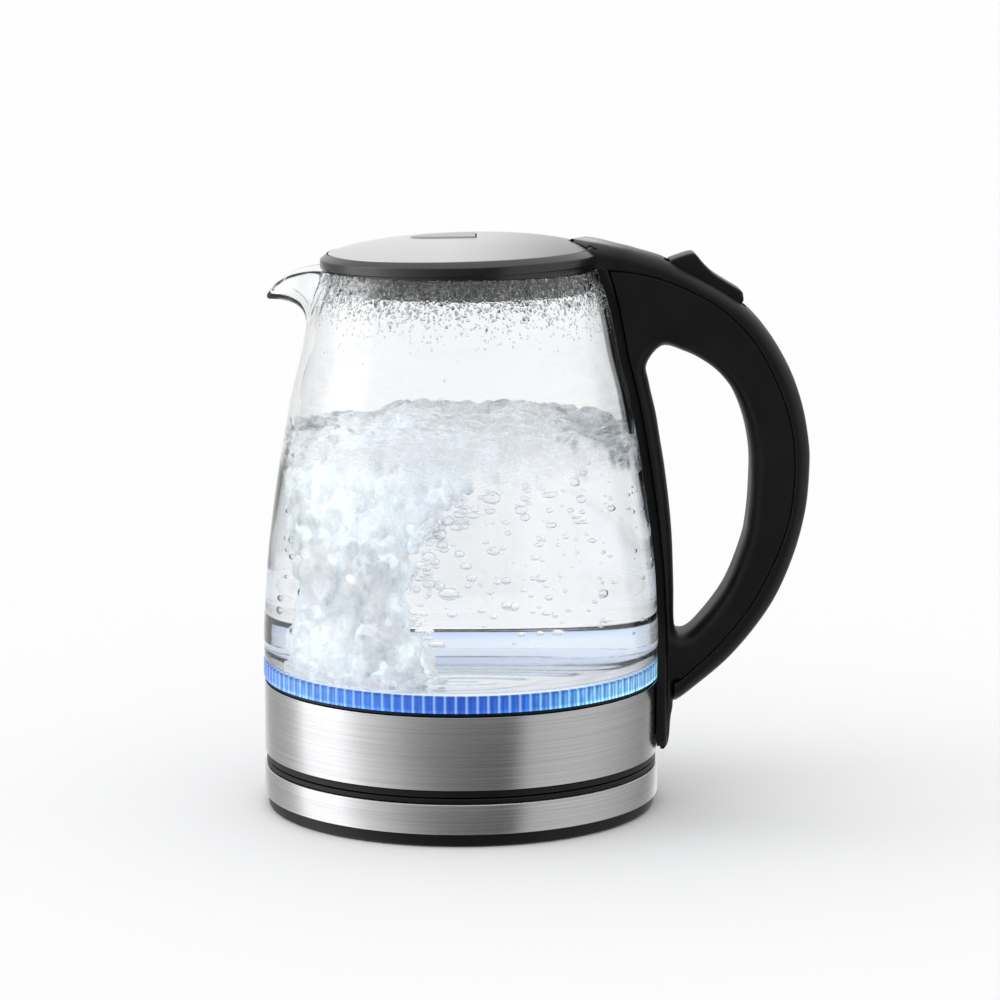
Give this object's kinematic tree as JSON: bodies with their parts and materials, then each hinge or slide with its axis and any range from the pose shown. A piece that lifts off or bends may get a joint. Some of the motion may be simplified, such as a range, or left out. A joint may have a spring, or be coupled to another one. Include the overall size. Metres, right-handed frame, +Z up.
{
  "type": "electric kettle",
  "caption": "Cordless glass-jug electric kettle on a round power base, with a domed steel lid, lit ring, loop handle and rocker switch.",
  "frame": {"origin": "centre of the power base's underside, where it rests on a table", "axes": "+Z up along the jug's axis, +X towards the handle, -X towards the spout"},
  "size_m": [0.2203, 0.1602, 0.2312],
  "materials": {
    "black_plastic": "satin moulded black",
    "brushed_steel": "brushed round the axis",
    "bright_steel": "plain bright steel",
    "jug_glass": "clear polished",
    "clear_plastic": "clear moulded",
    "light_ring": "clear ribbed, lit blue",
    "silicone": "translucent silicone",
    "rubber": "matt",
    "aluminium": "as rolled",
    "brass": "plain",
    "circuit_board": "solder mask",
    "led": "moulded lens",
    "tab_plastic": "satin grey",
    "switch_plastic": "natural moulded",
    "wire": "silicone sleeved"
  },
  "bodies": {
    "power_base": {"base_pan": "black_plastic", "base_steel_band": "brushed_steel", "base_top_cover": "black_plastic", "base_connector": "black_plastic", "live_contact_ring": "brass", "neutral_contact_ring": "brass", "earth_pin": "brass", "cord_gland": "rubber", "foot_pad_1": "rubber", "foot_pad_2": "rubber", "foot_pad_3": "rubber", "base_screw_1": "bright_steel", "base_screw_2": "bright_steel", "base_screw_3": "bright_steel"},
    "jug_connector": {"jug_connector": "black_plastic", "jug_contact_ring": "brass"},
    "jug": {"jug_bottom_cover": "black_plastic", "steel_skirt": "brushed_steel", "heater_housing": "black_plastic", "light_ring": "light_ring", "led_board": "circuit_board", "led_1": "led", "led_2": "led", "led_3": "led", "glass_seal": "silicone", "heater_plate": "bright_steel", "heat_spreader": "aluminium", "heating_element": "aluminium", "thermostat_control": "switch_plastic", "dry_boil_disc_1": "bright_steel", "dry_boil_disc_2": "bright_steel", "bottom_screw_1": "bright_steel", "bottom_screw_2": "bright_steel", "bottom_screw_3": "bright_steel", "glass_jug": "jug_glass", "collar_cover": "black_plastic", "handle_grip": "black_plastic", "handle_strip": "black_plastic", "handle_screw_1": "bright_steel", "handle_screw_2": "bright_steel", "spout_filter_frame": "clear_plastic", "spout_filter_mesh": "bright_steel", "steam_switch": "switch_plastic", "steam_bimetal_disc": "bright_steel", "rocker_pin": "bright_steel", "switch_wire_1": "wire", "switch_wire_2": "wire", "lid_hinge_pin": "bright_steel"},
    "lid": {"lid_disc": "brushed_steel", "lid_shell": "black_plastic", "lid_inner_cover": "black_plastic", "lid_seal": "silicone", "lid_screw_1": "bright_steel", "lid_screw_2": "bright_steel", "lid_screw_3": "bright_steel", "tab_spring": "bright_steel"},
    "lid_tab": {"lid_tab": "tab_plastic"},
    "latch_bolt": {"latch_bolt": "black_plastic"},
    "rocker": {"rocker": "black_plastic"},
    "trip_lever": {"trip_lever": "switch_plastic"}
  },
  "joints": [
    {"name": "jug_lift", "type": "slide", "parent": "power_base", "child": "jug_connector", "axis": [0, 0, 1], "range_m": [0, 0.12]},
    {"name": "jug_swivel", "type": "hinge", "parent": "jug_connector", "child": "jug", "pos_m": [0, 0, 0.026], "axis": [0, 0, 1], "continuous": true},
    {"name": "lid_open", "type": "hinge", "parent": "jug", "child": "lid", "pos_m": [0.0513, 0, 0.2262], "axis": [0, 1, 0], "range_deg": [0, 75]},
    {"name": "tab_press", "type": "hinge", "parent": "lid", "child": "lid_tab", "pos_m": [0.003, 0, 0.2252], "axis": [0, 1, 0], "range_deg": [-4.5, 0], "stiffness_Nm_per_rad": 0.5, "springref_deg": 2.86},
    {"name": "latch_slide", "type": "slide", "parent": "lid", "child": "latch_bolt", "axis": [1, 0, 0], "range_m": [0, 0.0022]},
    {"name": "rocker_switch", "type": "hinge", "parent": "jug", "child": "rocker", "pos_m": [0.103, 0, 0.208], "axis": [0, 1, 0], "range_deg": [-7, 0]},
    {"name": "trip_lever_turn", "type": "hinge", "parent": "jug", "child": "trip_lever", "pos_m": [0.09, 0, 0.2023], "axis": [0, 1, 0], "range_deg": [0, 7]}
  ],
  "couplings": [
    {"joint": "latch_slide", "follows": "tab_press", "m_per_rad": -0.028},
    {"joint": "trip_lever_turn", "follows": "rocker_switch", "ratio": -1}
  ]
}
